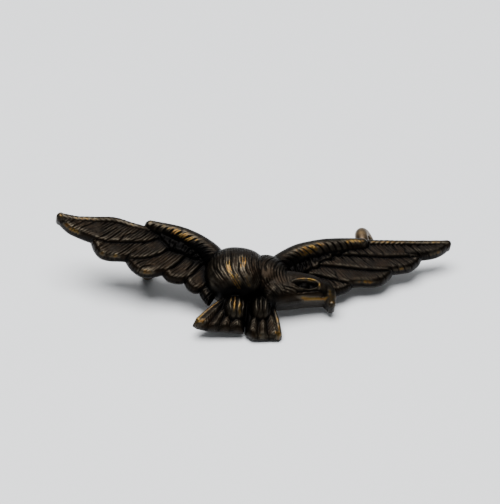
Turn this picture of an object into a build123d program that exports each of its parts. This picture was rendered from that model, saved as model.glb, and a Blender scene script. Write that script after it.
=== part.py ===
from build123d import *
import math
import os

# Cap badge: an eagle with spread wings, struck in one piece, with a wire lug brazed on
# behind each wing. All sizes are in millimetres.
#
# The badge is drawn face up, in its own frame: X along the span to the viewer's right,
# Y up the badge, Z out of the face, and the flat back at Z = 0. At the end it is laid down
# as it rests on a table, on the tail's lower corner and on its two lugs.

# ---- driving dimensions ----
top_feather_height = 1.3        # uppermost feather of a wing, above the back
covert_height = 1.45            # short feathers that cover the roots of the long ones
feather_step = 0.08             # each feather lies this much lower than the one above it
bead_radius = 0.45              # rounded leading edge of the outer wing
bead_axis_height = 0.95
feather_overlap = 0.8           # how far a feather runs under the one above it

body_center = (-1.4, -2.5, 0.6)
body_radii = (4.5, 3.7, 3.5)
hollow_center = (-1.4, -2.6, -0.3)
hollow_radii = (3.3, 2.5, 2.2)
neck_center = (2.8, -3.8, 1.3)
neck_radii = (3.0, 2.1, 2.0)
head_center = (5.9, -4.5, 1.6)
head_radii = (2.3, 1.5, 1.7)
jaw_height = 1.9
beak_height = 2.4
tail_height = 1.1
tail_blade_height = 1.35
tail_blade_radius = 0.6
room_size = 60                  # a block that takes in the whole front of the badge

left_lug_place = (-12.6, 2.4)   # lug feet on the back
right_lug_place = (13.8, 2.4)
lug_reach = 3.78                # from the back to the middle of the eye, along the wire
eye_outer_radius = 2.4
eye_bore_radius = 1.15
eye_width = 1.3
stem_radius = 0.65
foot_radius = 1.0
foot_thickness = 0.4
braze_radius = 1.7
bend_radius = 1.2               # right lug, bent over towards the badge's top
bend_angle = 72
twist_angle = 32                # right eye, turned about its own stem

rest_tilt = 18.6                # face leans towards the viewer
rest_roll = 6.7                 # right wing lies lower than the left

# ---- wings: leading edge and lower feather edges, from the shoulder outwards ----
left_bead = [(-13.2, 3.4), (-17.2, 4.45), (-20.4, 4.2), (-23.7, 4.5)]
left_arm = [(-4.8, -0.7, 1.4), (-6.6, 1.35, 1.3), (-9.8, 3.05, 1.05), (-12.8, 3.85, 0.75)]
left_feathers = [
    [(-8.2, 2.0), (-13.0, 1.55), (-17.5, 1.15), (-20.1, 1.6), (-22.5, 2.7), (-24.0, 4.8)],
    [(-8.5, 1.2), (-12.4, -0.5), (-15.9, -0.95), (-18.3, -0.8), (-19.4, 0.3), (-19.9, 1.7)],
    [(-7.9, 0.4), (-9.3, -1.1), (-11.3, -2.6), (-13.2, -3.05), (-14.9, -2.1), (-15.6, -1.0)],
    [(-6.2, -0.8), (-7.7, -2.7), (-8.6, -3.5), (-9.5, -3.65), (-10.6, -3.3), (-11.3, -2.5)],
    [(-5.2, -2.0), (-6.0, -4.0), (-6.7, -4.75), (-7.5, -4.85), (-8.2, -4.3), (-8.6, -3.4)],
    [(-4.2, -3.4), (-5.0, -5.6), (-5.7, -6.5), (-6.1, -6.1), (-6.5, -5.4), (-6.8, -4.6)],
]
left_coverts = [(-12.8, 3.5), (-10.0, 2.8), (-4.8, -0.5), (-3.2, -3.4), (-8.0, -1.4), (-11.4, 1.4)]
right_bead = [(13.2, 3.75), (18.6, 4.1), (23.2, 4.5)]
right_arm = [(2.3, -1.0, 1.35), (5.0, 1.25, 1.25), (8.2, 2.55, 1.1), (12.6, 3.45, 0.75)]
right_feathers = [
    [(6.4, 0.9), (10.5, 1.6), (16.0, 1.8), (20.3, 2.4), (22.6, 3.3), (23.75, 4.8)],
    [(6.2, -0.2), (10.2, -0.2), (15.4, -0.25), (18.2, 0.3), (19.6, 1.4), (20.1, 2.4)],
    [(5.5, -1.4), (9.5, -2.1), (12.4, -2.25), (14.6, -1.95), (15.9, -1.1), (16.4, -0.2)],
    [(5.0, -3.0), (7.5, -4.0), (9.4, -3.8), (10.2, -3.55), (11.0, -3.1), (11.6, -2.3)],
]
right_coverts = [(12.6, 3.3), (8.6, 2.4), (2.6, -0.6), (1.5, -3.4), (6.5, -2.6), (10.4, 1.0)]

# ---- tail: two fans, each an outline and the tips of its feathers ----
left_tail = [
    (-3.4, -5.0), (-5.8, -7.2), (-7.4, -9.3), (-7.5, -9.6), (-7.0, -9.95), (-5.9, -10.15),
    (-1.5, -10.2), (-0.9, -5.5),
]
left_tail_hub = (-2.4, -5.4)
left_tail_tips = [(-6.7, -9.2), (-5.2, -9.4), (-3.6, -9.5), (-2.3, -9.5)]
right_tail = [
    (-1.3, -5.5), (-1.3, -10.3), (-0.8, -10.8), (-0.3, -11.05), (2.65, -10.95), (3.0, -10.55),
    (3.0, -9.8), (2.35, -7.0), (1.8, -5.5),
]
right_tail_hub = (0.5, -5.4)
right_tail_tips = [(-0.5, -10.3), (0.9, -10.4), (2.3, -10.3)]

thighs = [((-2.6, -7.4, 0.8), (1.3, 1.65, 1.6)), ((0.4, -7.2, 0.8), (1.25, 1.65, 1.6))]
jaw = [(2.4, -6.5), (3.8, -6.25), (5.5, -5.75), (7.3, -5.4), (8.2, -4.0), (6.5, -3.2), (2.4, -2.6)]
beak = [(7.0, -5.2), (8.1, -5.6), (8.9, -6.25), (9.4, -5.6), (9.3, -4.6), (8.0, -3.7)]


# ---- eagle ----
def join(solids):
    return solids[0].fuse(*solids[1:])


def ellipsoid(center, radii):
    return Pos(*center) * scale(Sphere(1), by=radii)


def slab(points, height, closing=()):
    """Extrusion, from the back, of the curve through points, closed by straight lines."""
    curve = Spline(*points)
    corners = [points[-1], *closing, points[0]]
    sides = [Line(a, b) for a, b in zip(corners, corners[1:])]
    return extrude(make_face([curve] + sides), height)


def tapered_rod(start, start_radius, end, end_radius):
    """Round rod with ball ends between two points."""
    direction = Vector(*end) - Vector(*start)
    length = direction.length
    profile = Polyline((0, 0), (start_radius, 0), (end_radius, length), (0, length), close=True)
    shaft = revolve(Plane.XZ * make_face(profile), Axis.Z)
    shaft = Plane(origin=start, z_dir=direction) * shaft
    return [shaft, Pos(*start) * Sphere(start_radius), Pos(*end) * Sphere(end_radius)]


def wing(bead, arm, feathers, coverts):
    """Feathers laid over one another like tiles, under a rounded leading edge."""
    solids = [extrude(make_face(Polyline(*coverts, close=True)), covert_height)]
    above = bead[::-1] + [arm[2][:2]]
    for number, lower_edge in enumerate(feathers):
        height = top_feather_height - feather_step * number
        solids.append(slab(lower_edge, height, above))
        middle = (lower_edge[1][0], lower_edge[1][1] + feather_overlap)
        above = [middle, lower_edge[0]]
    for (x0, y0), (x1, y1) in zip(bead, bead[1:]):
        ends = (x0, y0, bead_axis_height), (x1, y1, bead_axis_height)
        solids += tapered_rod(ends[0], bead_radius, ends[1], bead_radius)
    for (x0, y0, r0), (x1, y1, r1) in zip(arm, arm[1:]):
        solids += tapered_rod((x0, y0, r0), r0, (x1, y1, r1), r1)
    return join(solids)


def tail_fan(outline, hub, tips):
    """Flat fan with a round-backed blade for each feather."""
    solids = [extrude(make_face(Polyline(*outline, close=True)), tail_height)]
    axis_height = tail_blade_height - tail_blade_radius
    for tip in tips:
        ends = (*hub, axis_height), (*tip, axis_height)
        solids += tapered_rod(ends[0], tail_blade_radius, ends[1], tail_blade_radius)
    return join(solids)


def body_and_head():
    solids = [ellipsoid(body_center, body_radii)]
    solids += [ellipsoid(center, radii) for center, radii in thighs]
    solids += [ellipsoid(neck_center, neck_radii), ellipsoid(head_center, head_radii)]
    solids.append(extrude(make_face(Polyline(*jaw, close=True)), jaw_height))
    solids.append(slab(beak, beak_height))
    return join(solids)


def build_eagle():
    """All the relief in one piece, cut off flat at the back and hollow behind the body."""
    left_wing = wing(left_bead, left_arm, left_feathers, left_coverts)
    right_wing = wing(right_bead, right_arm, right_feathers, right_coverts)
    left_fan = tail_fan(left_tail, left_tail_hub, left_tail_tips)
    right_fan = tail_fan(right_tail, right_tail_hub, right_tail_tips)
    whole = join([left_wing, right_wing, left_fan, right_fan, body_and_head()])
    front = Box(room_size, room_size, room_size, align=(Align.CENTER, Align.CENTER, Align.MIN))
    return (whole & front) - ellipsoid(hollow_center, hollow_radii)


# ---- lugs ----
def build_eye():
    """Ring of half-round wire, flat side in, lying in the YZ plane with its hole along X."""
    half_width = eye_width / 2
    flat_a = (eye_bore_radius, -half_width)
    flat_b = (eye_bore_radius, half_width)
    flat = Line(flat_a, flat_b)
    round_side = ThreePointArc(flat_b, (eye_outer_radius, 0), flat_a)
    section = make_face([flat, round_side])
    ring = revolve(section, Axis.Y)
    return Rot(0, 0, 90) * ring


def build_foot():
    return Cylinder(foot_radius, foot_thickness, align=(Align.CENTER, Align.CENTER, Align.MAX))


def build_straight_lug():
    """Foot on the back at Z = 0, stem and eye below it."""
    neck = lug_reach - (eye_bore_radius + eye_outer_radius) / 2
    stem = Cylinder(stem_radius, neck, align=(Align.CENTER, Align.CENTER, Align.MAX))
    eye = Pos(0, 0, -lug_reach) * build_eye()
    return build_foot() + stem + eye


def bent_end():
    """Place where the bend ends: Z points on along the bent wire, back towards the foot."""
    start = Pos(0, bend_radius, 0)
    return start * Rot(bend_angle, 0, 0) * Pos(0, -bend_radius, 0)


def build_bent_lug():
    """The same lug after its stem was bent over towards +Y, and its eye twisted."""
    bend_axis = Axis((0, bend_radius, 0), (1, 0, 0))
    bend = revolve(Face(Wire(Circle(stem_radius).edges())), bend_axis, bend_angle)
    straight = lug_reach - bend_radius * math.radians(bend_angle)
    neck = straight - (eye_bore_radius + eye_outer_radius) / 2
    stem = Cylinder(stem_radius, neck, align=(Align.CENTER, Align.CENTER, Align.MAX))
    eye = Pos(0, 0, -straight) * Rot(0, 0, twist_angle) * build_eye()
    return join([build_foot(), bend, bent_end() * stem, bent_end() * eye])


def build_braze():
    """Run-out of brazing metal round a foot: a low ring with a sloping outside."""
    section = Polyline((foot_radius, 0), (braze_radius, 0), (foot_radius, -foot_thickness), close=True)
    return revolve(Plane.XZ * make_face(section), Axis.Z)


# ---- assembly ----
left_place = Pos(*left_lug_place, 0)
right_place = Pos(*right_lug_place, 0)
nodes = {
    "eagle": build_eagle(),
    "left_lug": left_place * build_straight_lug(),
    "right_lug": right_place * build_bent_lug(),
    "left_lug_braze": left_place * build_braze(),
    "right_lug_braze": right_place * build_braze(),
}
rest = Rot(rest_tilt, rest_roll, 0)
laid = {name: rest * shape for name, shape in nodes.items()}
box = Compound(list(laid.values())).bounding_box()
to_origin = Pos(-box.center().X, -box.center().Y, -box.min.Z)

os.makedirs("parts", exist_ok=True)
for name, shape in laid.items():
    placed = to_origin * shape
    export_step(placed, f"parts/{name}.step")
    size = placed.bounding_box()
    print(name, "lowest", round(size.min.Z, 3), "size", [round(v, 2) for v in tuple(size.size)])
print("badge frame origin in the row frame", to_origin.position)
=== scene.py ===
import math

import bpy
import numpy as np
from mathutils import Matrix, Vector
from mathutils.geometry import delaunay_2d_cdt


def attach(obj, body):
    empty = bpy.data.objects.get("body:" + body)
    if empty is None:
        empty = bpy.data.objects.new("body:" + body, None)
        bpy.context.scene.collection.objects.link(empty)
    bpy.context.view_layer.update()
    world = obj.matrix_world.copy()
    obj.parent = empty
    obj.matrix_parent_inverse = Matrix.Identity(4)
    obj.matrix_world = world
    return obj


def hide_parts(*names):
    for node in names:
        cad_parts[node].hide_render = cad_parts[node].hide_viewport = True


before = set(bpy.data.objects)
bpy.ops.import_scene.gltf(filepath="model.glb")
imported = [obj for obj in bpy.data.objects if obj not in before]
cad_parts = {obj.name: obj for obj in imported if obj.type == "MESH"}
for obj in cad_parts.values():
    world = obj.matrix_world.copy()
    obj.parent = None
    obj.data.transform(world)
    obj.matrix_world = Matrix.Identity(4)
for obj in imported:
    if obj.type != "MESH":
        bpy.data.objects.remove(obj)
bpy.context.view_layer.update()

# Cap badge: an eagle with spread wings in dark bronze, rubbed golden on its high points.
# The eagle is built as a relief in the badge's own frame, in millimetres: X along the span,
# Y up the badge, Z out of the face, the back at Z = 0. It is then laid down where the CAD
# model rests. The lugs and their brazing are the CAD's own nodes.
# Outlines and lines are lists of points (x, y), rolls are lists of (x, y, radius).

MM = 0.001
LEFT, RIGHT = -1, 1                 # side of the badge, as the viewer sees it
REST_TILT = math.radians(18.6)      # face leans towards the viewer
REST_ROLL = math.radians(6.7)       # right wing lies lower than the left
LEFT_LUG_PLACE = (-12.6, 2.4)       # foot of the straight lug, on the back

# ---- relief as a whole ----
GRID = 0.066                        # spacing of the relief's points
FACE_X, FACE_Y = (-24.6, 24.4), (-11.5, 5.6)    # the points' range, a little more than the badge
STEEP = 3.0                         # slope of the steps between layers
NO_HEIGHT, FAR_OUTSIDE = -1.0, -9.0  # height and distance inside, before any part is laid
THINNEST = 0.25                     # the edge is nowhere thinner than this
RIM_WIDTH = 0.75                    # along a wing's lower edge the face falls off over this width
RIM_DROP = 0.78                     # and by this height
SOFTENED_STEP = (0.04, 0.12)        # steps in the face of this height and more are softened
SOFTENED_INSIDE = (0.3, 0.45)       # this far from the outline
CROSSING_LIMITS = (0.06, 0.94)      # the outline keeps this share of GRID away from the grid's points
SHOULDER_DROP = 0.2                 # a ring of points lies this share of the wall's height down
SHOULDER_WEAR_AND_SHADE = 0.2                 # and has this share of the edge's wear, painted highlight, patina and painted shade

# ---- wings ----
FEATHER_HEIGHT = 1.3                # uppermost feather of a wing
FEATHER_STEP = 0.06                 # each feather lies this much lower than the one above it
FEATHER_FALL = 0.1                  # its surface sinks by this slope towards the next one
FEATHER_FALL_REACH = 2.6            # over at most this width
FEATHER_OVERLAP = 0.8               # how far a feather runs under the one above it
LIP_RADIUS = 0.3                    # rounded lower edge of a feather
SEAM_DEPTH = 0.28                   # cut along the edge where one feather lies on another
SEAM_WIDTH = 0.15
BARB_PITCH = 0.4
BARB_DEPTH = 0.13
FINE_BARB_PITCH = 0.55 * BARB_PITCH
FINE_BARB_DEPTH = 0.5 * BARB_DEPTH
BARB_SLOPE = 1.29                   # barbs fall by this slope at the badge's middle
BARB_BEND = 0.0195                  # and flatten towards the tip
BARB_SHIFT = 0.37                   # they don't line up from one feather to the next
GOUGE_PITCH = 0.95                  # deeper cuts between tufts of barbs
GOUGE_WIDTH = 0.15
GOUGE_DEPTH = 0.2
LEFT_FEATHERS = [
    [(-8.2, 2.0), (-11.6, 2.1), (-13.0, 1.6), (-15.0, 1.35), (-17.5, 1.15), (-19.0, 1.35), (-20.1, 1.6),
     (-21.6, 2.2), (-22.6, 2.75), (-23.4, 3.55), (-23.9, 4.2), (-24.05, 4.7)],
    [(-8.5, 1.2), (-10.4, 0.7), (-11.6, -0.1), (-12.9, -0.7), (-14.5, -1.05), (-15.9, -0.95), (-17.4, -1.0),
     (-18.6, -0.7), (-19.4, 0.3), (-19.9, 1.7)],
    [(-7.9, 0.4), (-8.5, -0.1), (-9.3, -1.1), (-10.2, -2.0), (-11.3, -2.6), (-12.6, -3.05), (-13.8, -2.95),
     (-14.9, -2.1), (-15.6, -1.0)],
    [(-6.2, -0.8), (-6.9, -1.7), (-7.7, -2.7), (-8.6, -3.5), (-9.5, -3.65), (-10.5, -3.4), (-11.3, -2.5)],
    [(-5.2, -2.0), (-5.9, -3.8), (-6.7, -4.75), (-7.5, -4.85), (-8.2, -4.3), (-8.6, -3.4)],
    [(-4.2, -3.4), (-4.9, -5.3), (-5.6, -6.5), (-6.0, -6.3), (-6.5, -5.5), (-6.8, -4.6)],
]
RIGHT_FEATHERS = [
    [(6.4, 0.9), (8.5, 1.5), (10.5, 1.6), (13.0, 1.7), (16.0, 1.8), (18.4, 2.1), (20.3, 2.4), (21.9, 2.9),
     (23.1, 3.8), (23.7, 4.8)],
    [(6.2, -0.2), (8.5, -0.2), (10.2, -0.2), (12.0, -0.3), (13.9, -0.35), (15.7, -0.2), (17.3, 0.1),
     (18.6, 0.5), (19.6, 1.4), (20.1, 2.4)],
    [(5.5, -1.4), (8.5, -1.9), (9.5, -2.1), (10.9, -2.4), (12.4, -2.25), (13.9, -2.15), (15.2, -1.7),
     (16.1, -0.8), (16.5, 0.0)],
    [(5.0, -3.0), (7.5, -4.0), (9.4, -3.8), (10.2, -3.55), (11.0, -3.1), (11.6, -2.3)],
]

# short feathers under the arm
COVERT_HEIGHT = 1.32
COVERT_LIP = 0.3
COVERT_RAGGED = 0.22                # their edge wanders by this much
COVERT_GRAIN = (0.85, 0.5)          # direction across their strokes
LEFT_COVERTS = [
    (-12.3, 3.2), (-11.4, 2.1), (-10.8, 1.3), (-10.1, 0.5), (-9.2, 0.2), (-8.4, -0.1), (-7.7, -0.45),
    (-6.9, -0.65), (-6.2, -1.1), (-5.6, -1.2), (-5.0, -2.4),
]
RIGHT_COVERTS = [
    (11.2, 2.5), (10.2, 1.7), (9.3, 1.35), (8.6, 0.75), (7.7, 0.35), (7.3, -0.4), (6.4, -1.0), (4.6, -2.2),
]

# bead and arm along the upper edge; an axis is (height, slope), see roll()
BEAD_AXIS = (0.9, 0)
ARM_AXIS = (1.3, -0.28)
ARM_SLANT = 0.8                     # slope of the cuts over the arm
ARM_CUT_FROM = (0.2, -0.5)          # they fade in over this part of its half width
ROPE_PITCH = 0.62
ROPE_DEPTH = 0.07
ROPE_SLANT = 1.1
ROPE_WORN = 0.75                    # share of the rope that is worn away beyond its roped length
LEFT_ROPED_LENGTH = 50.0            # more than the bead's length: roped to its end
RIGHT_ROPED_LENGTH = 4.6
LEFT_BEAD = [
    (-13.0, 3.3, 0.45), (-14.9, 3.78, 0.45), (-17.2, 4.42, 0.45), (-20.0, 4.25, 0.45), (-21.6, 4.2, 0.45),
    (-22.9, 4.35, 0.48), (-23.5, 4.4, 0.58),
]
RIGHT_BEAD = [(13.2, 3.75, 0.45), (16.1, 3.93, 0.45), (18.6, 4.1, 0.45), (21.0, 4.3, 0.45), (23.2, 4.5, 0.47)]
LEFT_ARM = [
    (-4.6, -0.9, 1.4), (-5.4, 0.2, 1.38), (-6.6, 1.35, 1.3), (-8.1, 2.3, 1.2), (-9.8, 3.05, 1.05),
    (-12.8, 3.85, 0.72),
]
RIGHT_ARM = [
    (2.3, -1.0, 1.35), (3.4, 0.1, 1.33), (5.2, 1.4, 1.25), (8.0, 2.5, 1.1), (10.6, 3.05, 0.92),
    (12.7, 3.4, 0.75),
]

# ---- tail: two fans side by side, each with a rolled outer rim ----
TAIL_HEIGHT = 1.1
TAIL_CROWN = 0.3                    # each feather's back stands up by this much
TAIL_LIP = 0.7                      # the fan's edge is rounded down over this width
TAIL_SHAFT_HEIGHT = 0.1
TAIL_SHAFT_WIDTH = 0.07             # as a share of the feather's width
TAIL_BARB_SLANT = 1.4
TAIL_RIM_AXIS = (TAIL_HEIGHT, -1)
LEFT_TAIL = [
    (-3.4, -5.0), (-5.8, -7.2), (-7.4, -9.3), (-7.5, -9.6), (-7.0, -9.95), (-5.9, -10.15),
    (-1.5, -10.2), (-0.9, -5.5),
]
LEFT_TAIL_HUB = (-2.3, -4.4)
LEFT_TAIL_SPLITS = [(-7.4, -9.5), (-5.9, -10.2), (-4.5, -10.2), (-3.2, -10.2), (-1.5, -10.2)]
LEFT_TAIL_RIM = [(-4.0, -6.0, 0.2), (-5.5, -7.5, 0.23), (-6.9, -9.1, 0.28)]
RIGHT_TAIL = [
    (-1.3, -5.5), (-1.3, -10.3), (-0.8, -10.8), (-0.3, -11.05), (2.65, -10.95), (3.0, -10.55),
    (3.0, -9.8), (2.35, -7.0), (1.8, -5.5),
]
RIGHT_TAIL_HUB = (0.5, -3.4)
RIGHT_TAIL_SPLITS = [(-1.3, -11.0), (0.1, -11.0), (1.4, -11.0), (3.0, -10.6)]
RIGHT_TAIL_RIM = [(2.0, -7.0, 0.2), (2.4, -8.6, 0.24), (2.6, -10.3, 0.28)]

# ---- body, neck and thighs ----
BODY_CENTER, BODY_RADII = (-2.35, -2.6, 0.6), (3.8, 3.6, 3.4)
BODY_SWEEP = 0.2                    # strokes on the back bend to the right below its middle
BODY_SMOOTH_FROM = (0.35, 0.8)      # and fade towards its top, in shares of its half height
BELLY_FROM = (-0.72, -0.88)         # level strokes take over here
NECK_CENTER, NECK_RADII = (1.1, -2.6, 0.95), (2.8, 3.0, 2.5)
COLLAR_MIDDLE, COLLAR_BOW = -3.1, 0.19
COLLAR_END = (2.6, 4.6)             # on the head its rings fade out between these x
THIGHS = [((-2.6, -7.4, 0.8), (1.3, 1.65, 1.6)), ((0.4, -7.2, 0.8), (1.25, 1.65, 1.6))]
THIGH_FALL = 0.25                   # a thigh is this much lower at its foot

# ---- head ----
HEAD = [
    (0.6, -2.4), (1.8, -1.9), (3.0, -2.05), (5.0, -2.2), (6.6, -2.5), (7.7, -3.1), (8.3, -3.9), (8.2, -4.8),
    (7.6, -5.35), (6.9, -5.5), (5.5, -5.75), (3.8, -6.2), (2.2, -6.5), (0.6, -6.3),
]
HEAD_WALL = 1.6
HEAD_RISE = 1.4
HEAD_HALF_WIDTH = 1.7
HEAD_FULLNESS = 2.3                 # 2 is a round section, more is boxier
CHEEK_START, CHEEK_END, CHEEK_TOP = (2.4, 3.4), (6.4, 7.0), (-4.75, -5.0)
BEAK = [
    (6.9, -4.0, 1.05), (7.8, -4.2, 1.1), (8.3, -4.55, 1.0), (8.6, -5.15, 0.8), (8.75, -5.6, 0.6),
    (8.82, -5.85, 0.48),
]
BEAK_AXIS = (0.9, 0.65)
MOUTH = [(2.9, -6.24, 0.18), (3.8, -6.08, 0.2), (5.5, -5.66, 0.22), (6.9, -5.42, 0.22), (7.8, -5.35, 0.2)]
MOUTH_AXIS = (HEAD_WALL, 0)
SLIT = [(4.6, -5.45), (6.0, -5.15), (7.3, -4.98), (8.0, -5.2)]
SLIT_DEPTH, SLIT_WIDTH = 0.22, 0.13
BROW = [(3.9, -4.3), (4.5, -3.98), (5.3, -3.8), (6.1, -3.8), (6.8, -4.0), (7.15, -4.4), (7.05, -4.85)]
BROW_HEIGHT, BROW_RADIUS = 0.16, 0.17
SOCKET_CENTER, SOCKET_RADII, SOCKET_DEPTH = (5.6, -4.5), (1.4, 0.5), 0.5
EYE_CENTER, EYE_RADII, EYE_HEIGHT = (5.5, -4.5), (0.5, 0.34), 0.25

# ---- back: flat, with a hollow under the body ----
BACK_X, BACK_Y, BACK_PITCH = (-24.3, 24.3), (-11.3, 5.3), 0.7
BACK_MARGIN = 0.25                  # its points keep this far inside the outline
HOLLOW_CENTER, HOLLOW_RADII = (-1.4, -2.6, -0.3), (3.3, 2.5, 2.2)
HOLLOW_RINGS = (1.0, 0.97, 0.92, 0.84, 0.72, 0.58, 0.42, 0.24)
HOLLOW_CORNERS = 64
HOLLOW_MARGIN = 1.08                # the flat back's points begin at this share of its radii


# ---- small mathematics ----
def smooth(low, high, value):
    """0 at low, 1 at high, an S between them, and level beyond both."""
    t = np.clip((value - low) / (high - low), 0, 1)
    return t * t * (3 - 2 * t)


def curve(points, steps=8):
    """Smooth line through the points, Catmull-Rom."""
    p = np.array(points, float)
    p = np.vstack([2 * p[0] - p[1], p, 2 * p[-1] - p[-2]])
    t = np.linspace(0, 1, steps, endpoint=False)[:, None]
    spans = []
    for a, b, c, d in zip(p, p[1:], p[2:], p[3:]):
        cubic = 2 * b + (c - a) * t + (2 * a - 5 * b + 4 * c - d) * t**2 + (3 * b - a - 3 * c + d) * t**3
        spans.append(cubic / 2)
    return np.vstack(spans + [p[-2:-1]])


def trace(line, x, y):
    """Distance from a line, distance along it, and side (+1 on its left)."""
    best = np.full(x.shape, np.inf)
    along = np.zeros(x.shape)
    side = np.ones(x.shape)
    start = 0.0
    for (ax, ay), (bx, by) in zip(line[:-1], line[1:]):
        dx, dy = bx - ax, by - ay
        length = math.hypot(dx, dy)
        t = np.clip(((x - ax) * dx + (y - ay) * dy) / length**2, 0, 1)
        square = (x - ax - t * dx) ** 2 + (y - ay - t * dy) ** 2
        near = square < best
        best[near] = square[near]
        along[near] = (start + t * length)[near]
        side[near] = np.sign(dx * (y - ay) - dy * (x - ax))[near]
        start += length
    return np.sqrt(best), along, side


def contains(outline, x, y):
    """Whether each point lies inside the outline, by counting crossings."""
    inside = np.zeros(x.shape, bool)
    for (ax, ay), (bx, by) in zip(outline, np.roll(outline, -1, 0)):
        if ay == by:
            continue
        crossing = (ay > y) != (by > y)
        inside ^= crossing & (x < (bx - ax) * (y - ay) / (by - ay) + ax)
    return inside


def distance_inside(line, outline, x, y):
    """Distance from the line, negative outside the outline that it is a part of."""
    distance, _, _ = trace(line, x, y)
    return np.where(contains(outline, x, y), distance, -distance)


def noise(x, y, size, seed):
    """Smooth random values from -1 to 1, about `size` mm apart."""
    count = 64
    table = np.random.default_rng(seed).uniform(-1, 1, (count, count))
    u, v = x / size, y / size
    i, j = np.floor(u).astype(int), np.floor(v).astype(int)
    fu, fv = u - i, v - j
    fu, fv = fu * fu * (3 - 2 * fu), fv * fv * (3 - 2 * fv)

    def corner(right, up):
        return table[(i + right) % count, (j + up) % count]

    low = corner(0, 0) * (1 - fu) + corner(1, 0) * fu
    high = corner(0, 1) * (1 - fu) + corner(1, 1) * fu
    return low * (1 - fv) + high * fv


def rounded(d, radius):
    """Quarter round: 0 at the edge, radius once d is that far in."""
    t = 1 - np.clip(d / radius, 0, 1)
    return radius * np.sqrt(1 - t * t)


def dome(share):
    """Round top: 1 in the middle, 0 where share is 1 and beyond."""
    return np.sqrt(np.clip(1 - share**2, 0, None))


def blurred(grid, cells):
    """Mean over a window, applied three times: close to a Gaussian."""
    for axis in (0, 1):
        for _ in range(3):
            padded = np.pad(grid, [(cells + 1, cells) if a == axis else (0, 0) for a in (0, 1)], "edge")
            total = np.cumsum(padded, axis)
            n = 2 * cells + 1
            high = np.take(total, np.arange(n, total.shape[axis]), axis)
            low = np.take(total, np.arange(0, total.shape[axis] - n), axis)
            grid = (high - low) / n
    return grid


# ---- engraved cuts: u runs across them, depth, pitch and width are in mm ----
def cuts(u):
    """0 at the bottom of a V, 1 on the rounded ridge between two."""
    return np.abs(np.sin(math.pi * u)) ** 0.7


def strokes(u, x, y, depth, pitch, seed):
    """Hand-cut strokes side by side; each wanders a little, and fades in and out."""
    sway = 0.22 * noise(x, y, size=1.6, seed=seed)
    jitter = 0.12 * noise(x, y, size=0.5, seed=seed + 1)
    strength = np.clip(0.7 + 0.7 * noise(x, y, size=1.2, seed=seed + 2), 0.1, 1.3)
    return depth * strength * (cuts(u / pitch + (sway + jitter)) - 1)


def dashes(u, x, y, depth, pitch, seed):
    """Short cuts: strokes that are broken up along their length."""
    broken = smooth(-0.35, 0.35, noise(x, y, size=0.55, seed=seed + 5))
    return (0.25 + 0.75 * broken) * strokes(u, x, y, depth, pitch, seed)


def gouges(u, x, y, depth, pitch, width, seed):
    """Narrow deep cuts, unevenly spaced and broken."""
    place = u / pitch + 0.6 * noise(x, y, size=2.3, seed=seed)
    off = np.abs(place - np.rint(place)) * pitch / width
    return -depth * np.clip(1 - off, 0, 1) * smooth(-0.25, 0.35, noise(x, y, size=1.9, seed=seed + 1))


# ---- relief: its parts are laid one over another ----
class Relief:
    """Height above the back, and signed distance inside the outline, at points x, y."""

    def __init__(self, x, y):
        self.x, self.y = x, y
        self.height = np.full(x.shape, NO_HEIGHT)
        self.inside = np.full(x.shape, FAR_OUTSIDE)

    def near(self, points, margin=1.6):
        """Numbers of the relief's points in a box around a part."""
        p = np.array(points, float)[:, :2]
        low, high = p.min(0) - margin, p.max(0) + margin
        return np.nonzero((self.x > low[0]) & (self.x < high[0]) & (self.y > low[1]) & (self.y < high[1]))[0]

    def cut_seam(self, where, inside):
        """A groove along the edge of the part that comes next."""
        self.height[where] -= SEAM_DEPTH * np.exp(-((inside / SEAM_WIDTH) ** 2))

    def lay(self, where, height, inside, blend=0.0):
        """The part is laid over what is there already, with a soft join if blend is given."""
        height = height + STEEP * np.minimum(inside, 0)
        old = self.height[where]
        top = np.maximum(old, height)
        if blend:
            gap = np.clip(1 - np.abs(old - height) / blend, 0, 1)
            top = top + gap * gap * blend / 4
        self.height[where] = top
        self.inside[where] = np.maximum(self.inside[where], inside)


def roll(relief, points, axis, texture=None, blend=0.0):
    """Rounded roll along points (x, y, radius), its middle at axis[0] + axis[1] * radius."""
    line = curve(points)
    where = relief.near(line)
    x, y = relief.x[where], relief.y[where]
    distance, along, side = trace(line[:, :2], x, y)
    lengths = np.hypot(*np.diff(line[:, :2], axis=0).T)
    radius = np.interp(along, np.concatenate([[0], np.cumsum(lengths)]), line[:, 2])
    inside = radius - distance
    height = axis[0] + axis[1] * radius + np.sqrt(np.clip(radius**2 - distance**2, 0, None))
    if texture:
        height += texture(along, side * distance, radius) * smooth(0, 0.15, inside)
    relief.lay(where, height, inside, blend)


def lump(relief, center, radii, texture, fullness=2.0, blend=0.3):
    """Rounded form: part of an ellipsoid, boxier with more fullness."""
    (cx, cy, cz), (rx, ry, rz) = center, radii
    where = relief.near([(cx - rx, cy - ry), (cx + rx, cy + ry)], margin=0.3)
    x, y = relief.x[where], relief.y[where]
    u, v = (x - cx) / rx, (y - cy) / ry
    out = (np.abs(u) ** fullness + np.abs(v) ** fullness) ** (1 / fullness)
    inside = (1 - out) * min(rx, ry)
    height = cz + rz * np.clip(1 - out**fullness, 0, None) ** (1 / fullness) + texture(x, y, u, v)
    relief.lay(where, height, inside, blend)


# ---- wings ----
def barbs(x, y, side, number):
    """Slanted strokes that run down and outwards, flatter towards the wing's tip."""
    out = side * x
    slope = BARB_SLOPE - 2 * BARB_BEND * out
    across = (y + BARB_SLOPE * out - BARB_BEND * out**2) / np.sqrt(1 + slope**2)
    across = across + BARB_SHIFT * number
    seed = 100 * number + 7 * side
    cut = strokes(across, x, y, BARB_DEPTH, BARB_PITCH, 200 + seed)
    cut = cut + dashes(across, x, y, FINE_BARB_DEPTH, FINE_BARB_PITCH, 250 + seed)
    return cut + gouges(across, x, y, GOUGE_DEPTH, GOUGE_PITCH, GOUGE_WIDTH, 300 + seed)


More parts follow.
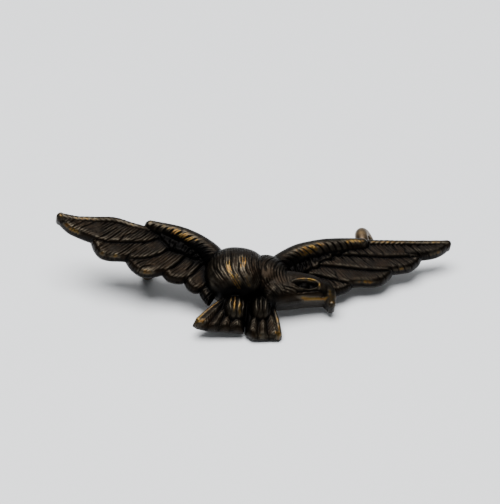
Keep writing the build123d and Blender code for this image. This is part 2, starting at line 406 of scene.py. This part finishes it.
def feather(relief, edge, closing, side, number):
    """Long feather inside its lower edge and the closing points under its neighbour."""
    lower = curve(edge)
    outline = np.vstack([lower, closing])
    where = relief.near(outline)
    x, y = relief.x[where], relief.y[where]
    inside = distance_inside(lower, outline, x, y)
    height = FEATHER_HEIGHT - FEATHER_STEP * number - LIP_RADIUS + rounded(inside, LIP_RADIUS)
    height -= FEATHER_FALL * np.clip(inside - LIP_RADIUS, 0, FEATHER_FALL_REACH)
    height += barbs(x, y, side, number) * smooth(0, 0.12, inside)
    relief.cut_seam(where, inside)
    relief.lay(where, height, inside)


def coverts(relief, edge, arm, side):
    """Short ragged feathers below the arm, over the roots of the long ones."""
    lower = curve(edge)
    outline = np.vstack([lower, [p[:2] for p in arm]])
    where = relief.near(outline)
    x, y = relief.x[where], relief.y[where]
    inside = distance_inside(lower, outline, x, y) + COVERT_RAGGED * noise(x, y, size=0.7, seed=66)
    height = COVERT_HEIGHT - COVERT_LIP + rounded(inside, COVERT_LIP)
    across = COVERT_GRAIN[0] * side * x + COVERT_GRAIN[1] * y
    height += dashes(across, x, y, depth=0.24, pitch=0.42, seed=65)
    height += gouges(across, x, y, depth=0.35, pitch=0.8, width=0.2, seed=68)
    height += 0.16 * noise(x, y, size=0.6, seed=69)
    relief.cut_seam(where, inside)
    relief.lay(where, height, inside)


def wing_face(relief, side, bead, arm, feathers, covert_edge):
    """Long feathers, the uppermost on top, and the coverts over their roots."""
    above = [p[:2] for p in bead[::-1]] + [arm[3][:2]]
    parts = []
    for number, edge in enumerate(feathers):
        parts.append((edge, above, number))
        above = [(edge[1][0], edge[1][1] + FEATHER_OVERLAP), edge[0]]
    for edge, closing, number in reversed(parts):
        feather(relief, edge, closing, side, number)
    coverts(relief, covert_edge, arm, side)


def bevel(relief):
    """The face falls off towards the outline, to a thin edge."""
    relief.height = relief.height - RIM_DROP * (1 - rounded(relief.inside, RIM_WIDTH) / RIM_WIDTH)


def rope(side, roped_length):
    """Twisted cord, worn nearly plain beyond its roped length."""
    def texture(along, across, _):
        u = (along - ROPE_SLANT * side * across) / ROPE_PITCH
        worn = ROPE_WORN * smooth(roped_length - 0.5, roped_length + 0.5, along)
        return ROPE_DEPTH * (cuts(u) - 1) * (1 - worn)
    return texture


def arm_strokes(side):
    """Slanted cuts over the lower part of the arm; its upper part is smooth."""
    def texture(along, across, radius):
        u = along + ARM_SLANT * side * across
        lower = smooth(*ARM_CUT_FROM, side * across / radius)
        fine = strokes(u, along, across, depth=0.11, pitch=0.42, seed=71) * (0.12 + 0.88 * lower)
        return fine + gouges(u, along, across, depth=0.18, pitch=0.8, width=0.2, seed=75) * lower
    return texture


def wing_front(relief, side, bead, arm, roped_length):
    """Roped bead and thick arm along the wing's upper edge."""
    roll(relief, bead, BEAD_AXIS, rope(side, roped_length))
    roll(relief, arm, ARM_AXIS, arm_strokes(side))


# ---- tail, body and head ----
def tail_fan(relief, outline, hub, splits):
    """Flat fan whose feathers widen from a hub, each with a rounded back, a shaft and barbs."""
    line = np.array(outline + outline[:1], float)
    where = relief.near(outline)
    x, y = relief.x[where], relief.y[where]
    inside = distance_inside(line, line, x, y)
    bearing = np.arctan2(x - hub[0], hub[1] - y)
    ends = [math.atan2(sx - hub[0], hub[1] - sy) for sx, sy in splits]
    u = np.interp(bearing, ends, range(len(ends))) % 1
    from_shaft = np.abs(u - 0.5)
    from_hub = np.hypot(x - hub[0], y - hub[1])
    height = TAIL_HEIGHT - TAIL_LIP + rounded(inside, TAIL_LIP) + TAIL_CROWN * (cuts(u) ** 1.2 - 0.6)
    height += dashes(from_hub - TAIL_BARB_SLANT * from_shaft, x, y, depth=0.12, pitch=0.42, seed=91)
    height += TAIL_SHAFT_HEIGHT * np.clip(1 - from_shaft / TAIL_SHAFT_WIDTH, 0, 1)
    relief.lay(where, height, inside)


def body_strokes(x, y, _, v):
    """Strokes down the back that sweep to the right lower down, and level ones under the belly."""
    sweep = x - BODY_SWEEP * np.clip(BODY_CENTER[1] - y, 0, None) ** 2
    down = dashes(sweep, x, y, depth=0.17, pitch=0.32, seed=21)
    down = down + gouges(sweep, x, y, depth=0.14, pitch=0.9, width=0.15, seed=25)
    down = down * (1 - 0.85 * smooth(*BODY_SMOOTH_FROM, v))
    level = strokes(y, x, y, depth=0.14, pitch=0.42, seed=28)
    low = smooth(*BELLY_FROM, v)
    return down * (1 - low) + level * low


def neck_strokes(x, y, *_):
    """Rings of a collar, bowed towards the body."""
    bowed = x - COLLAR_BOW * (y - COLLAR_MIDDLE) ** 2
    rings = dashes(bowed, x, y, depth=0.16, pitch=0.36, seed=31)
    return rings + gouges(bowed, x, y, depth=0.14, pitch=1.1, width=0.15, seed=35)


def thigh_strokes(x, y, u, v):
    """Hanging tufts, cut by long upright strokes."""
    return strokes(x + 0.1 * u * v, x, y, depth=0.3, pitch=0.62, seed=81) - THIGH_FALL * smooth(0.2, -1.0, v)


def face(x, y):
    """Eye socket, brow and eye, on the side of the head that shows."""
    socket = np.hypot((x - SOCKET_CENTER[0]) / SOCKET_RADII[0], (y - SOCKET_CENTER[1]) / SOCKET_RADII[1])
    brow, _, _ = trace(curve(BROW), x, y)
    eye = np.hypot((x - EYE_CENTER[0]) / EYE_RADII[0], (y - EYE_CENTER[1]) / EYE_RADII[1])
    raised = BROW_HEIGHT * dome(brow / BROW_RADIUS) + EYE_HEIGHT * dome(eye)
    return raised - SOCKET_DEPTH * (1 - smooth(0.55, 1.1, socket))


def head(relief):
    """Head with collar, cheek, face and slit, then the lip of its mouth and the beak."""
    outline = curve(HEAD + HEAD[:1], 6)
    where = relief.near(outline)
    x, y = relief.x[where], relief.y[where]
    inside = distance_inside(outline, outline, x, y)
    t = 1 - np.clip(inside / HEAD_HALF_WIDTH, 0, 1)
    height = HEAD_WALL + HEAD_RISE * (1 - t**HEAD_FULLNESS) ** (1 / HEAD_FULLNESS)
    collar = (1 - smooth(*COLLAR_END, x)) * smooth(0.1, 0.5, inside)
    height += collar * neck_strokes(x, y)
    cheek = smooth(*CHEEK_START, x) * (1 - smooth(*CHEEK_END, x))
    cheek *= smooth(*CHEEK_TOP, y) * smooth(0.2, 0.45, inside)
    height += cheek * strokes(y + 0.2 * x, x, y, depth=0.16, pitch=0.4, seed=36)
    slit, _, _ = trace(curve(SLIT), x, y)
    height += face(x, y) - SLIT_DEPTH * np.exp(-((slit / SLIT_WIDTH) ** 2))
    relief.lay(where, height, inside, blend=0.2)
    roll(relief, MOUTH, MOUTH_AXIS, blend=0.1)
    roll(relief, BEAK, BEAK_AXIS, blend=0.3)


def relief_at(x, y):
    """The whole relief at points x, y, from the bottom layer up."""
    relief = Relief(x, y)
    wing_face(relief, LEFT, LEFT_BEAD, LEFT_ARM, LEFT_FEATHERS, LEFT_COVERTS)
    wing_face(relief, RIGHT, RIGHT_BEAD, RIGHT_ARM, RIGHT_FEATHERS, RIGHT_COVERTS)
    bevel(relief)
    wing_front(relief, LEFT, LEFT_BEAD, LEFT_ARM, LEFT_ROPED_LENGTH)
    wing_front(relief, RIGHT, RIGHT_BEAD, RIGHT_ARM, RIGHT_ROPED_LENGTH)
    tail_fan(relief, LEFT_TAIL, LEFT_TAIL_HUB, LEFT_TAIL_SPLITS)
    tail_fan(relief, RIGHT_TAIL, RIGHT_TAIL_HUB, RIGHT_TAIL_SPLITS)
    for rim in (LEFT_TAIL_RIM, RIGHT_TAIL_RIM):
        roll(relief, rim, TAIL_RIM_AXIS, blend=0.1)
    for center, radii in THIGHS:
        lump(relief, center, radii, thigh_strokes, fullness=2.4, blend=0.1)
    lump(relief, BODY_CENTER, BODY_RADII, body_strokes, fullness=2.3)
    lump(relief, NECK_CENTER, NECK_RADII, neck_strokes, blend=0.15)
    head(relief)
    relief.height = np.maximum(relief.height, THINNEST)
    relief.height += 0.012 * noise(x, y, size=0.22, seed=41) + 0.02 * noise(x, y, size=0.8, seed=42)
    return relief


# ---- from relief to mesh ----
def pinholes(solid):
    """Slivers between parts that the open space around the badge doesn't reach."""
    around = np.zeros(solid.shape, bool)
    around[[0, -1]] = True
    around[:, [0, -1]] = True
    reached = 0
    while around.sum() > reached:
        reached = around.sum()
        grown = around.copy()
        grown[1:] |= around[:-1]
        grown[:-1] |= around[1:]
        grown[:, 1:] |= around[:, :-1]
        grown[:, :-1] |= around[:, 1:]
        around = grown & ~solid
    return ~solid & ~around


def sampled_relief():
    """The relief on a square grid: x, y, height, and distance inside the outline."""
    x, y = np.meshgrid(np.arange(*FACE_X, GRID), np.arange(*FACE_Y, GRID), indexing="ij")
    relief = relief_at(x.ravel(), y.ravel())
    inside = relief.inside.reshape(x.shape)
    height = relief.height.reshape(x.shape)
    soft = blurred(height, 1)
    too_steep = smooth(*SOFTENED_STEP, np.abs(height - soft)) * smooth(*SOFTENED_INSIDE, inside)
    height = height + too_steep * (soft - height)
    inside[pinholes(inside > 0)] = GRID
    return x, y, height, inside


def outline_crossings(x, y, inside, first):
    """Where the grid's lines cross the outline: places, the grid points just inside them, and the
    crossings' numbers, counted from first, by the grid point and axis that they follow."""
    places, owners, numbers = [], [], {}
    for axis in (0, 1):
        here = inside[:-1] if axis == 0 else inside[:, :-1]
        there = inside[1:] if axis == 0 else inside[:, 1:]
        i, j = np.nonzero((here > 0) != (there > 0))
        here, there = here[i, j], there[i, j]
        forward = np.array([axis == 0, axis == 1])
        share = np.clip(here / (here - there), *CROSSING_LIMITS)
        places.append(np.stack([x[i, j], y[i, j]], 1) + GRID * share[:, None] * forward)
        owners.append(np.stack([i, j], 1) + (here <= 0)[:, None] * forward)
        for key in zip(i.tolist(), j.tolist()):
            numbers[(*key, axis)] = first
            first += 1
    return np.vstack(places), np.vstack(owners), numbers


def cell_faces(solid, crossings):
    """Faces of the grid's cells, cut off at the outline, and the edges along the outline."""
    index = np.full(solid.shape, -1)
    index[solid] = np.arange(solid.sum())
    corners_in = solid[:-1, :-1].astype(int) + solid[1:, :-1] + solid[1:, 1:] + solid[:-1, 1:]
    i, j = np.nonzero(corners_in == 4)
    faces = np.stack([index[i, j], index[i + 1, j], index[i + 1, j + 1], index[i, j + 1]], 1).tolist()
    border = []
    for i, j in np.argwhere((corners_in > 0) & (corners_in < 4)).tolist():
        corners = ((i, j), (i + 1, j), (i + 1, j + 1), (i, j + 1))
        between = ((i, j, 0), (i + 1, j, 1), (i, j + 1, 0), (i, j, 1))
        polygon = []
        for corner, side in zip(corners, between):
            if solid[corner]:
                polygon.append((int(index[corner]), False))
            if side in crossings:
                polygon.append((crossings[side], True))
        faces.append([point for point, _ in polygon])
        for (a, a_on_outline), (b, b_on_outline) in zip(polygon, polygon[1:] + polygon[:1]):
            if a_on_outline and b_on_outline:
                border.append((a, b))
    return faces, border


def back_points():
    """Points for the back: rings in the hollow, its middle, and a wide grid around it."""
    (cx, cy, cz), (rx, ry, rz) = HOLLOW_CENTER, HOLLOW_RADII
    opening = math.sqrt(1 - (cz / rz) ** 2)
    points = []
    for share in HOLLOW_RINGS:
        for k in range(HOLLOW_CORNERS):
            a = math.tau * k / HOLLOW_CORNERS
            points.append((cx + rx * opening * share * math.cos(a), cy + ry * opening * share * math.sin(a)))
    points.append((cx, cy))
    x, y = np.meshgrid(np.arange(*BACK_X, BACK_PITCH), np.arange(*BACK_Y, BACK_PITCH), indexing="ij")
    x, y = x.ravel(), y.ravel()
    clear = relief_at(x, y).inside > BACK_MARGIN
    clear &= np.hypot((x - cx) / rx, (y - cy) / ry) > HOLLOW_MARGIN
    return points + list(zip(x[clear].tolist(), y[clear].tolist()))


def back_height(x, y):
    """Height of the hollow over the flat back."""
    (cx, cy, cz), (rx, ry, rz) = HOLLOW_CENTER, HOLLOW_RADII
    out = np.hypot((x - cx) / rx, (y - cy) / ry)
    return np.clip(cz + rz * dome(out), 0, None)


def back_mesh(outline, edges):
    """The back inside its outline: points, triangles, and the numbers of the outline's points."""
    inside_only, merge_distance = 1, 1e-7
    points = [Vector(p) for p in outline.tolist() + back_points()]
    made, _, triangles, origins, _, _ = delaunay_2d_cdt(points, edges, [], inside_only, merge_distance)
    flat = np.array([tuple(p) for p in made])
    back = np.column_stack([flat, back_height(flat[:, 0], flat[:, 1])])
    number_of = {old: new for new, olds in enumerate(origins) for old in olds}
    numbers = [number_of[k] for k in range(len(outline))]
    back[numbers, 2] = 0
    return back, triangles, numbers


def badge_place():
    """Turn and origin of the badge's frame, from where the CAD's straight lug and back are."""
    turn = np.array(Matrix.Rotation(REST_TILT, 3, "X") @ Matrix.Rotation(REST_ROLL, 3, "Y"))

    def unturned(node):
        return np.array([v.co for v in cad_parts[node].data.vertices]) @ turn

    lug, back = unturned("left_lug"), unturned("eagle")[:, 2].min()
    middle = (lug.min(0) + lug.max(0)) / 2
    place_x, place_y = LEFT_LUG_PLACE
    return turn, turn @ np.array([middle[0] - place_x * MM, middle[1] - place_y * MM, back])


TURN, ORIGIN = badge_place()


def to_row(points):
    """From the badge's frame in millimetres to the scene's in metres."""
    return np.asarray(points, float) * MM @ TURN.T + ORIGIN


def build_eagle():
    """One closed surface: relief in front, walls down from its outline, and the back."""
    x, y, height, inside = sampled_relief()
    solid = inside > 0
    edge, edge_owner, crossings = outline_crossings(x, y, inside, int(solid.sum()))
    edge_height = relief_at(edge[:, 0], edge[:, 1]).height
    inner = np.column_stack([x[solid], y[solid], height[solid]])
    front = np.vstack([inner, np.column_stack([edge, edge_height])])
    owner = np.vstack([np.argwhere(solid), edge_owner])
    faces, border = cell_faces(solid, crossings)

    rim = sorted({a for pair in border for a in pair})
    spot = {a: k for k, a in enumerate(rim)}
    back, triangles, numbers = back_mesh(front[rim, :2], [(spot[a], spot[b]) for a, b in border])
    shoulder = front[rim] * (1, 1, 1 - SHOULDER_DROP)
    base = len(front) + len(shoulder)
    middle = {a: len(front) + k for a, k in spot.items()}
    low = {a: base + numbers[k] for a, k in spot.items()}
    faces += [[base + k for k in reversed(t)] for t in triangles]
    faces += [[b, a, middle[a], middle[b]] for a, b in border]
    faces += [[middle[b], middle[a], low[a], low[b]] for a, b in border]

    mesh = bpy.data.meshes.new("eagle_relief")
    mesh.from_pydata(to_row(np.vstack([front, shoulder, back])).tolist(), [], faces)
    mesh.validate()
    mesh.update()
    mesh.shade_smooth()
    for name, grid in surface_maps(x, y, height, inside).items():
        values = grid[owner[:, 0], owner[:, 1]]
        add_attribute(mesh, name, values, SHOULDER_WEAR_AND_SHADE * values[rim], len(back))
    eagle = bpy.data.objects.new("eagle_relief", mesh)
    bpy.context.scene.collection.objects.link(eagle)
    return eagle


# ---- wear, painted highlight, patina in the cuts, and painted shade ----
# places on the face: x, y, half width, half height, strength, turn from X in degrees
RUBBED = [
    # left wing
    (-23.6, 4.5, 0.45, 0.4, 0.8, 0), (-20.4, 4.05, 3.0, 0.2, 0.5, 0), (-14.8, 3.7, 1.6, 0.2, 0.2, 14),
    (-22.9, 3.2, 0.5, 0.2, 0.9, -20), (-22.0, 2.5, 0.6, 0.22, 1.2, -25), (-18.5, -0.6, 0.35, 0.22, 1.0, -20),
    (-16.8, -0.85, 0.6, 0.2, 1.0, 0), (-13.5, -2.9, 1.0, 0.28, 1.0, 0), (-12.6, 3.9, 0.9, 0.3, 0.35, -10),
    (-11.0, 3.4, 1.0, 0.3, 0.4, -15), (-8.9, 2.3, 1.7, 0.42, 1.15, -27),
    # right wing
    (6.1, 1.45, 1.6, 0.45, 1.45, 24), (11.5, 3.2, 1.0, 0.3, 1.0, 5), (15.4, 3.85, 2.2, 0.2, 0.42, 4),
    (21.0, 4.2, 2.6, 0.2, 0.36, 4), (17.5, 0.2, 0.9, 0.2, 0.75, 15), (13.3, -2.05, 1.2, 0.2, 0.75, 5),
    (21.6, 2.85, 0.9, 0.2, 0.6, 25),
    # body and neck
    (-3.6, -3.5, 0.32, 1.0, 1.4, 8), (-3.2, -4.5, 1.0, 0.38, 1.5, -45), (-2.1, -2.7, 0.42, 0.75, 1.5, 0),
    (-1.35, -4.7, 0.35, 0.5, 0.9, 0), (0.2, -4.7, 0.25, 1.0, 0.4, 20),
    # brow, mouth and beak
    (5.5, -3.8, 1.6, 0.18, 0.8, 0), (7.15, -4.4, 0.15, 0.4, 0.6, 0), (6.9, -5.62, 1.5, 0.1, 1.2, 6),
    (8.55, -5.1, 0.22, 0.5, 0.9, 20), (8.8, -5.7, 0.35, 0.4, 1.2, 0), (9.2, -5.2, 0.2, 0.6, 0.5, 0),
    # thighs and tail
    (-2.9, -7.3, 0.25, 0.8, 0.8, 0), (-2.1, -7.9, 0.2, 0.7, 0.8, 0), (-6.0, -8.0, 2.0, 0.3, 0.85, 50),
    (-6.9, -9.4, 0.55, 0.4, 1.4, 0), (2.4, -9.3, 0.35, 1.6, 0.9, 12), (2.5, -10.6, 0.5, 0.35, 1.3, 0),
    (0.9, -10.85, 0.7, 0.2, 0.7, 0),
]
# painted shade: these spots darken the face
PAINTED_SHADE_SPOTS = [
    # painted shade under the arms, and the right wing painted darker as a whole
    (-9.6, 1.2, 2.7, 1.1, 1.3, -28), (-7.2, 0.0, 1.6, 1.1, 1.3, -35), (-5.3, -0.2, 0.9, 0.7, 0.6, -45),
    (5.0, -0.3, 2.8, 0.9, 0.95, 22), (8.6, 1.6, 1.5, 0.5, 0.5, 15), (16.0, 1.0, 9.0, 4.0, 0.46, 0),
    # painted shade below the body, on and between the thighs
    (-2.4, -6.05, 3.8, 0.75, 1.2, 0), (-2.6, -7.4, 1.2, 1.4, 0.35, 0), (0.4, -7.2, 1.2, 1.4, 0.35, 0),
    (-1.1, -7.6, 0.5, 1.5, 0.9, 0), (-4.4, -6.8, 0.8, 0.8, 0.8, 0), (1.6, -7.0, 0.8, 0.8, 0.9, 0),
    # painted shade in the eye socket, slit and throat
    (5.6, -4.5, 1.2, 0.4, 1.0, 0), (6.6, -5.1, 1.8, 0.12, 0.9, 5), (5.3, -6.05, 2.2, 0.12, 0.5, 12),
]
SURROUND_HEIGHT = 0.35              # level around the badge, for the blurs
FINE_BLUR, WIDE_BLUR = 3, 12        # in grid cells
# value of both maps on the back: a little grey of wear and painted highlight, a little dark of patina and
# painted shade
BACK_WEAR_AND_SHADE = 0.1


def spots(places, x, y):
    """Strongest of the soft spots at each point."""
    total = np.zeros(x.shape)
    for cx, cy, half_x, half_y, strength, turned in places:
        c, s = math.cos(math.radians(turned)), math.sin(math.radians(turned))
        u = ((x - cx) * c + (y - cy) * s) / half_x
        v = ((y - cy) * c - (x - cx) * s) / half_y
        total = np.maximum(total, strength * np.exp(-0.5 * (u * u + v * v) ** 1.5))
    return total


def surface_maps(x, y, height, inside):
    """Two maps. The first: rubbed to golden metal, and grey on the ridges, which is wear and a painted
    highlight. The second: dark patina in the cuts and under the edges, and painted shade at the listed spots.
    """
    filled = np.where(inside > 0, height, SURROUND_HEIGHT)
    fine = filled - blurred(filled, FINE_BLUR)
    wide = filled - blurred(filled, WIDE_BLUR)
    ridge = smooth(0.0, 0.08, fine) * smooth(0.1, 0.8, inside)
    deep = 0.7 * smooth(0.0, -0.1, fine) + 0.7 * smooth(0.05, -0.45, wide)
    broken = 0.7 + 0.4 * noise(x, y, size=0.35, seed=51) + 0.3 * noise(x, y, size=0.9, seed=52)
    rubbed = spots(RUBBED, x, y) * broken * (0.1 + 0.95 * smooth(-0.02, 0.08, fine))
    return {
        # rubbed spots are wear to golden metal; the grey on the ridges is wear and a painted highlight
        "wear_and_highlight": np.clip(rubbed + 0.22 * ridge * broken, 0, 1),
        # dark patina in the cuts, and painted shade at the listed spots
        "patina_and_shade": np.clip(deep + spots(PAINTED_SHADE_SPOTS, x, y), 0, 1),
    }


def add_attribute(mesh, name, front, shoulder, back_count):
    """A value for each of the mesh's points: front, shoulder ring, back."""
    values = np.concatenate([front, shoulder, np.full(back_count, BACK_WEAR_AND_SHADE)])
    layer = mesh.attributes.new(name, "FLOAT", "POINT")
    layer.data.foreach_set("value", values.astype(np.float32))


# ---- materials ----
PATINA = (0.0065, 0.0052, 0.0038)
PATINA_BROWN = (0.0095, 0.006, 0.0034)
# grey on the ridges: edge wear and a painted highlight
RIDGE_WEAR_AND_HIGHLIGHT_GREY = (0.034, 0.0285, 0.0205)
# near black: patina in the cuts, and painted shade
PATINA_AND_SHADE_BLACK = (0.0012, 0.001, 0.0009)
GOLDEN = (0.085, 0.052, 0.013)
COPPERY = (0.075, 0.038, 0.011)
WIRE_DULL, WIRE_BRIGHT, WIRE_ROUGHNESS = (0.045, 0.03, 0.017), (0.12, 0.08, 0.04), 0.45
BRAZING_DULL, BRAZING_BRIGHT, BRAZING_ROUGHNESS = (0.04, 0.03, 0.02), (0.1, 0.07, 0.04), 0.55
PAPER, PAPER_LIGHTER = (0.62, 0.63, 0.645), (0.64, 0.65, 0.66)


class Surface:
    """A procedural material, and the nodes that feed its shader."""

    def __init__(self, name):
        self.material = bpy.data.materials.new(name)
        self.material.use_nodes = True
        self.nodes = self.material.node_tree.nodes
        self.links = self.material.node_tree.links
        self.shader = self.nodes["Principled BSDF"]

    def feed(self, node, socket, value):
        """Sets a socket to a number or colour, or links it to another node's output."""
        if isinstance(value, bpy.types.NodeSocket):
            self.links.new(value, node.inputs[socket])
        elif isinstance(value, tuple):
            node.inputs[socket].default_value = (*value, 1)
        else:
            node.inputs[socket].default_value = value

    def node(self, kind, **values):
        """A new node with its sockets fed; an underscore stands for a space in a socket's name."""
        node = self.nodes.new(kind)
        for socket, value in values.items():
            self.feed(node, socket.replace("_", " "), value)
        return node

    def noise(self, scale, detail=3.0):
        """Noise fixed to the object, scale in waves per metre."""
        place = self.nodes.new("ShaderNodeTexCoord").outputs["Object"]
        return self.node("ShaderNodeTexNoise", Vector=place, Scale=scale, Detail=detail).outputs["Fac"]

    def spread(self, value, low, high, to_low=0.0, to_high=1.0):
        """Values from low to high become to_low to to_high."""
        limits = {"From_Min": low, "From_Max": high, "To_Min": to_low, "To_Max": to_high}
        return self.node("ShaderNodeMapRange", Value=value, **limits).outputs["Result"]

    def mix(self, factor, a, b):
        """Colour a where the factor is 0, colour b where it is 1."""
        node = self.nodes.new("ShaderNodeMix")
        node.data_type = "RGBA"
        color_a, color_b, color_result = 6, 7, 2
        self.feed(node, "Factor", factor)
        self.feed(node, color_a, a)
        self.feed(node, color_b, b)
        return node.outputs[color_result]

    def bump(self, scale, strength, distance):
        """Normal that is roughened by noise."""
        height = self.noise(scale, detail=4)
        node = self.node("ShaderNodeBump", Strength=strength, Distance=distance, Height=height)
        return node.outputs["Normal"]

    def attribute(self, name):
        """Value that the mesh's points carry."""
        node = self.nodes.new("ShaderNodeAttribute")
        node.attribute_name = name
        return node.outputs["Fac"]

    def finish(self, **values):
        """Feeds the shader and hands over the material."""
        for socket, value in values.items():
            self.feed(self.shader, socket.replace("_", " "), value)
        return self.material


def bronze_material():
    """Near-black patina; greyer on ridges, from wear and a painted highlight; near black in the cuts as
    patina and where shade is painted; golden where it is rubbed.
    """
    look = Surface("patinated_bronze")
    wear_and_highlight, patina_and_shade = look.attribute("wear_and_highlight"), look.attribute("patina_and_shade")
    patina = look.mix(look.spread(look.noise(scale=700), 0.35, 0.65), PATINA, PATINA_BROWN)
    # ridges greyer: wear and a painted highlight
    ridges_worn_and_highlit = look.mix(look.spread(wear_and_highlight, 0.04, 0.24), patina, RIDGE_WEAR_AND_HIGHLIGHT_GREY)
    # near black for patina in the cuts and for painted shade
    patinated_and_shaded = look.mix(patina_and_shade, ridges_worn_and_highlit, PATINA_AND_SHADE_BLACK)
    warm = look.mix(look.spread(look.noise(scale=1500), 0.4, 0.6), GOLDEN, COPPERY)
    return look.finish(
        Base_Color=look.mix(look.spread(wear_and_highlight, 0.3, 0.8), patinated_and_shaded, warm),
        Metallic=0.95,
        Specular_IOR_Level=0.3,
        Roughness=look.spread(wear_and_highlight, 0.1, 0.8, to_low=0.46, to_high=0.36),
        Normal=look.bump(scale=6000, strength=0.35, distance=0.03 * MM),
    )


def wire_material(name, dull, bright, roughness):
    """Plain metal that varies between a dull and a bright tone."""
    look = Surface(name)
    return look.finish(
        Base_Color=look.mix(look.spread(look.noise(scale=900), 0.4, 0.62), dull, bright),
        Metallic=0.9,
        Roughness=roughness,
        Normal=look.bump(scale=3500, strength=0.3, distance=0.04 * MM),
    )


def paper_material():
    look = Surface("floor_paper")
    tone = look.spread(look.noise(scale=12), 0.3, 0.7)
    return look.finish(Base_Color=look.mix(tone, PAPER, PAPER_LIGHTER), Roughness=0.6)


def paint(node, material):
    """Gives a CAD node its material, in the object's own slots."""
    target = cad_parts[node]
    if not target.material_slots:
        target.data.materials.append(None)
    for part in target.material_slots:
        part.link = "OBJECT"
        part.material = material


eagle = build_eagle()
eagle.data.materials.append(bronze_material())
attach(eagle, "root")
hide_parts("eagle")
wire = wire_material("lug_wire", WIRE_DULL, WIRE_BRIGHT, WIRE_ROUGHNESS)
brazing = wire_material("brazing", BRAZING_DULL, BRAZING_BRIGHT, BRAZING_ROUGHNESS)
for node in ("left_lug", "right_lug"):
    paint(node, wire)
for node in ("left_lug_braze", "right_lug_braze"):
    paint(node, brazing)


# ---- floor, light and camera: places and sizes in metres, power in watts ----
FLOOR_SIZE = 3.0
WORLD_COLOR = (0.9, 0.95, 1.0, 1)
WORLD_STRENGTH = 0.21
OVERHEAD_PLACE, OVERHEAD_SIZE, OVERHEAD_POWER = (-0.04, -0.03, 0.52), 0.48, 8.4
REAR_PLACE, REAR_SIZE, REAR_POWER = (0.06, 0.36, 0.38), 0.8, 1.2
VIEW_ELEVATION = math.radians(34.4)
VIEW_DISTANCE = 0.3
VIEW_MIDDLE = (0, 0, 0.6)           # middle of the relief, in the badge's frame
VIEW_RIGHT, VIEW_UP = -0.79, 1.19   # the camera aims this far beside and above it, in millimetres
FOCAL_LENGTH, SENSOR = 180, 36      # in millimetres
CLIP_START = 0.01


def make_floor():
    half = FLOOR_SIZE / 2
    mesh = bpy.data.meshes.new("floor")
    corners = [(-half, -half, 0), (half, -half, 0), (half, half, 0), (-half, half, 0)]
    mesh.from_pydata(corners, [], [(0, 1, 2, 3)])
    mesh.materials.append(paper_material())
    floor = bpy.data.objects.new("floor", mesh)
    bpy.context.scene.collection.objects.link(floor)


def make_world():
    world = bpy.data.worlds.new("studio")
    world.use_nodes = True
    background = world.node_tree.nodes["Background"]
    background.inputs["Color"].default_value = WORLD_COLOR
    background.inputs["Strength"].default_value = WORLD_STRENGTH
    bpy.context.scene.world = world


def disc_light(name, place, size, power):
    """Round area light that faces the badge."""
    data = bpy.data.lights.new(name, "AREA")
    data.shape = "DISK"
    data.size = size
    data.energy = power
    light = bpy.data.objects.new(name, data)
    light.location = place
    light.rotation_mode = "QUATERNION"
    light.rotation_quaternion = (-Vector(place)).to_track_quat("-Z", "Y")
    bpy.context.scene.collection.objects.link(light)


def make_camera():
    back = Vector((0, -math.cos(VIEW_ELEVATION), math.sin(VIEW_ELEVATION)))
    up = Vector((0, math.sin(VIEW_ELEVATION), math.cos(VIEW_ELEVATION)))
    middle = Vector(to_row([VIEW_MIDDLE])[0])
    target = middle + Vector((VIEW_RIGHT * MM, 0, 0)) + up * VIEW_UP * MM
    camera = bpy.data.objects.new("camera", bpy.data.cameras.new("camera"))
    camera.location = target + back * VIEW_DISTANCE
    camera.rotation_mode = "QUATERNION"
    camera.rotation_quaternion = (-back).to_track_quat("-Z", "Y")
    camera.data.lens = FOCAL_LENGTH
    camera.data.sensor_width = SENSOR
    camera.data.clip_start = CLIP_START
    bpy.context.scene.collection.objects.link(camera)
    bpy.context.scene.camera = camera


make_floor()
make_world()
disc_light("overhead", OVERHEAD_PLACE, OVERHEAD_SIZE, OVERHEAD_POWER)
disc_light("rear", REAR_PLACE, REAR_SIZE, REAR_POWER)
make_camera()
